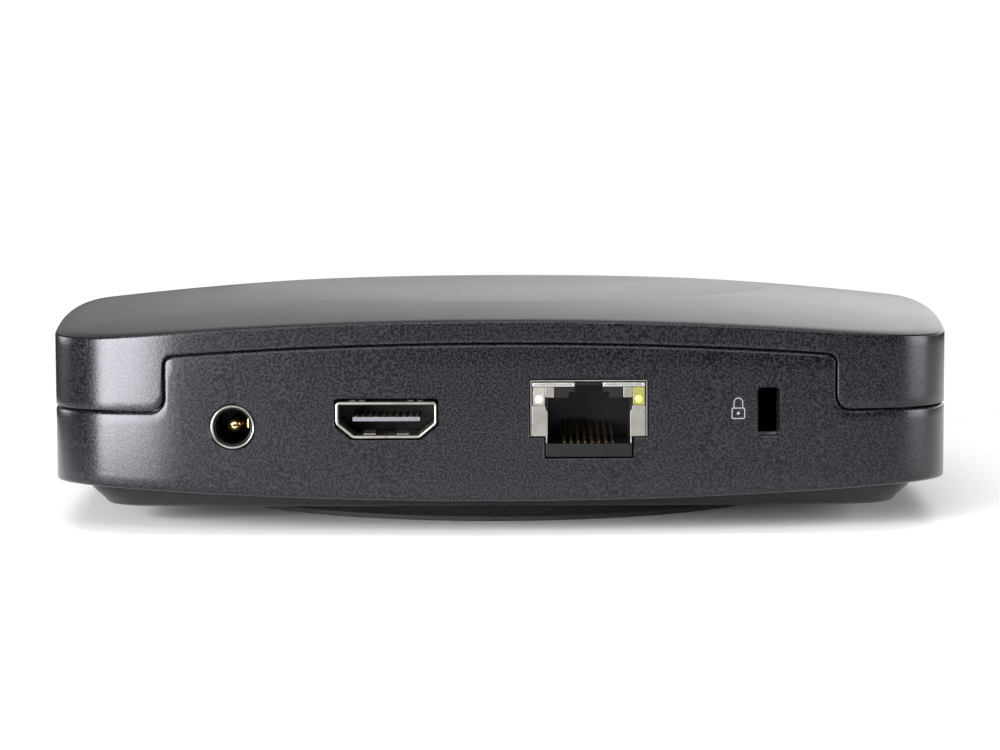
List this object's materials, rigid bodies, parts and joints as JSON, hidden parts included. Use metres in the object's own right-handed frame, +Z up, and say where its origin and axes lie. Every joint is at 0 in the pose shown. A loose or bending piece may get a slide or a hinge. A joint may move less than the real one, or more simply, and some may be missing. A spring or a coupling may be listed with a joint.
{
  "type": "streaming media player",
  "caption": "Low square-round media player box with a domed, dished top, a socket panel at the rear, a push button at the front and a round rubber foot.",
  "frame": {"origin": "middle of the underside of the rubber foot, where the player stands", "axes": "+Z up, -Y out of the rear socket panel, +Y out of the front, +X to the right as seen from behind"},
  "size_m": [0.1408, 0.134, 0.0337],
  "materials": {
    "housing": "fine moulded texture, satin charcoal",
    "plinth": "satin charcoal, smoother than the housing",
    "rubber": "matt black rubber",
    "button": "satin charcoal",
    "nickel": "nickel-plated sheet steel",
    "tin_plate": "tin-plated sheet steel",
    "gold": "gold-flashed contacts",
    "steel": "zinc-plated steel",
    "screw": "black zinc-plated steel",
    "aluminium": "plain extruded aluminium",
    "board": "green solder mask on glass-epoxy",
    "chip": "black moulded epoxy",
    "pad": "soft grey-blue silicone",
    "cable": "black jacket",
    "socket": "black glass-filled nylon",
    "white": "off-white nylon",
    "clear": "clear moulded light guide",
    "green": "yellow-green moulded light guide"
  },
  "bodies": {
    "player": {"antenna_lead_left": "cable", "antenna_lead_right": "cable", "antenna_left": "board", "antenna_right": "board", "base_plate": "plinth", "board_screw_1": "steel", "board_screw_2": "steel", "board_screw_3": "steel", "board_screw_4": "steel", "bottom_shell": "housing", "case_screw_1": "screw", "case_screw_2": "screw", "case_screw_3": "screw", "case_screw_4": "screw", "dc_jack_contact": "gold", "dc_jack_housing": "socket", "dc_jack_pin": "gold", "dc_jack_ring": "nickel", "ethernet_contact_1": "gold", "ethernet_contact_2": "gold", "ethernet_contact_3": "gold", "ethernet_contact_4": "gold", "ethernet_contact_5": "gold", "ethernet_contact_6": "gold", "ethernet_contact_7": "gold", "ethernet_contact_8": "gold", "ethernet_housing": "socket", "ethernet_led_left": "clear", "ethernet_led_right": "green", "ethernet_shield": "nickel", "ethernet_transformer": "chip", "flash_chip": "chip", "hdmi_shell": "nickel", "hdmi_tongue": "socket", "heat_sink": "aluminium", "input_capacitor": "aluminium", "lock_plate": "steel", "main_board": "board", "memory_chip_1": "chip", "memory_chip_2": "chip", "power_inductor": "chip", "processor": "chip", "rubber_foot": "rubber", "status_led": "white", "status_light_pipe": "clear", "switch_housing": "socket", "thermal_pad": "pad", "top_cover": "housing", "usb_shell": "nickel", "usb_tongue": "white", "wifi_module": "tin_plate"},
    "power_button": {"power_button": "button"},
    "switch_plunger": {"switch_plunger": "white"}
  },
  "joints": [
    {"name": "power_button_slide", "type": "slide", "parent": "player", "child": "power_button", "axis": [0, -1, 0], "range_m": [0, 0.0004], "stiffness_N_per_m": 800},
    {"name": "switch_plunger_slide", "type": "slide", "parent": "player", "child": "switch_plunger", "axis": [0, -1, 0], "range_m": [0, 0.0004]}
  ],
  "couplings": [
    {"joint": "switch_plunger_slide", "follows": "power_button_slide", "ratio": 1}
  ]
}
